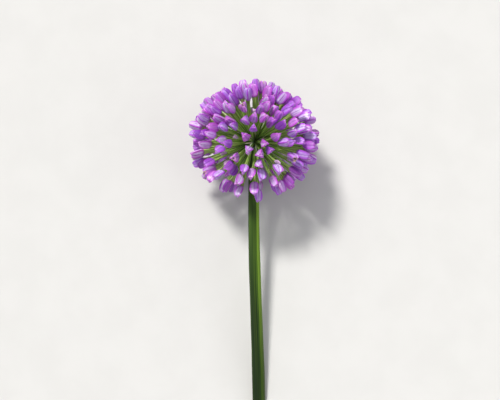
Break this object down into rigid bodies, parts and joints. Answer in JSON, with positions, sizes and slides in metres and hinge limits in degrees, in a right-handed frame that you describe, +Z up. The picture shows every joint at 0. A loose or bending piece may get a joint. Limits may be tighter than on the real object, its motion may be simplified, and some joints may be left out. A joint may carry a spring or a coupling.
{
  "type": "allium flower head",
  "caption": "Globe-shaped purple allium umbel of closed buds on radiating green pedicels, with its cut two-edged stalk, lying on its side.",
  "frame": {"origin": "on the table, under the middle of the whole flower as it lies", "axes": "+Z up from the table, +Y from the cut end of the stalk towards the head, +X to the right seen from above with the head at the top"},
  "size_m": [0.05, 0.1208, 0.049],
  "materials": {
    "tepals": "soft satin petal skin, lilac purple with pale tips and darker midribs",
    "pedicels": "satin fresh green",
    "scape": "satin fresh green with fine lengthwise ribs and a thin waxy bloom"
  },
  "bodies": {
    "root": {"umbel": "tepals", "scape": "scape"}
  },
  "joints": []
}
